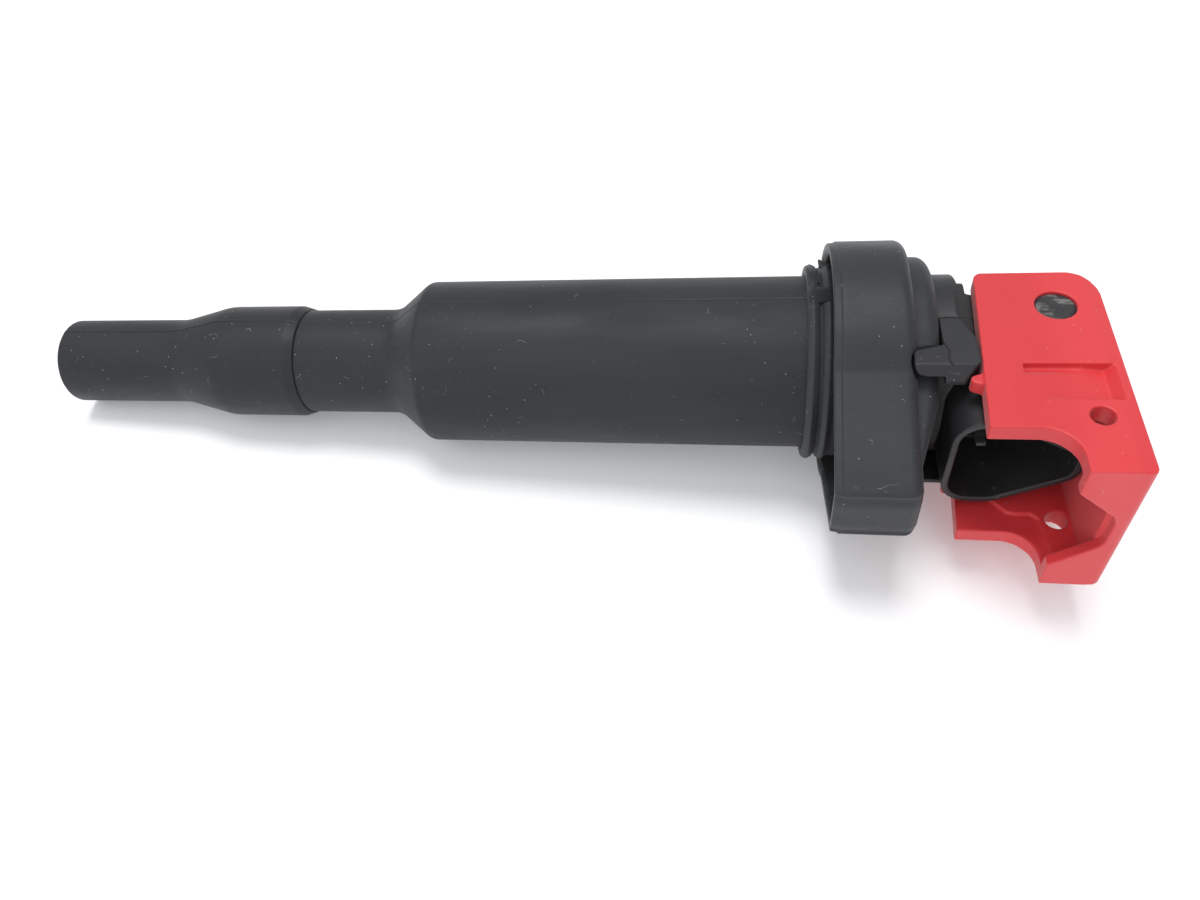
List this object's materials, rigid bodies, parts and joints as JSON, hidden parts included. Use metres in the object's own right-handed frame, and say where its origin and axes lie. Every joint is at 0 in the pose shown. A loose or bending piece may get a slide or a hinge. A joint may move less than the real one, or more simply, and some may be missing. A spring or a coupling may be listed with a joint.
{
  "type": "ignition coil",
  "caption": "Pencil ignition coil with a rubber spark plug boot, a hollow flange seal and a connector head whose red locking lever swings on two trunnions.",
  "frame": {"origin": "centre of the boot's open mouth, where the spark plug enters", "axes": "+X along the coil towards the head, the connector socket opens towards -Y, +Z parallel to the lever's pivot and up as the coil lies on a bench"},
  "size_m": [0.1906, 0.0562, 0.0422],
  "materials": {
    "boot_rubber": "matte moulded rubber",
    "sleeve_rubber": "matte moulded rubber",
    "seal_rubber": "matte moulded rubber, a little lighter",
    "case_plastic": "moulded plastic",
    "housing_plastic": "grained black plastic with mould flash",
    "lever_plastic": "satin moulded plastic",
    "silicon_steel": "rolled sheet",
    "spring_steel": "drawn wire",
    "brass": "turned",
    "tinned_brass": "tin plated",
    "copper": "enamelled wire",
    "ceramic": "fired ceramic",
    "magnet": "sintered",
    "buffer_rubber": "soft rubber",
    "bobbin_plastic": "glass filled plastic",
    "board": "lacquered laminate",
    "chip_epoxy": "moulded epoxy",
    "potting_epoxy": "cast epoxy"
  },
  "bodies": {
    "coil": {"plug_boot": "boot_rubber", "body_sleeve": "sleeve_rubber", "coil_case": "case_plastic", "shield_tube": "silicon_steel", "contact_spring": "spring_steel", "suppression_resistor": "ceramic", "resistor_cap_lower": "brass", "resistor_cap_upper": "brass", "hv_terminal": "brass", "iron_core": "silicon_steel", "magnet_lower": "magnet", "magnet_upper": "magnet", "core_buffer_lower": "buffer_rubber", "core_buffer_upper": "buffer_rubber", "secondary_bobbin": "bobbin_plastic", "secondary_winding": "copper", "primary_bobbin": "bobbin_plastic", "primary_winding": "copper", "flange_seal": "seal_rubber", "head_housing": "housing_plastic", "pin_supply": "tinned_brass", "pin_ground": "tinned_brass", "pin_trigger": "tinned_brass", "driver_board": "board", "driver_chip": "chip_epoxy", "heat_spreader": "copper", "head_potting": "potting_epoxy", "lead_post_start": "copper", "lead_post_end": "copper"},
    "contact": {"contact_tip": "brass"},
    "lever": {"lever": "lever_plastic"}
  },
  "joints": [
    {"name": "lever_hinge", "type": "hinge", "parent": "coil", "child": "lever", "pos_m": [0.18337, -0.00153, 0], "axis": [0, 0, 1], "range_deg": [0, 75]},
    {"name": "contact_slide", "type": "slide", "parent": "coil", "child": "contact", "axis": [1, 0, 0], "range_m": [0, 0.004], "stiffness_N_per_m": 800, "deforming": ["contact_spring"]}
  ]
}
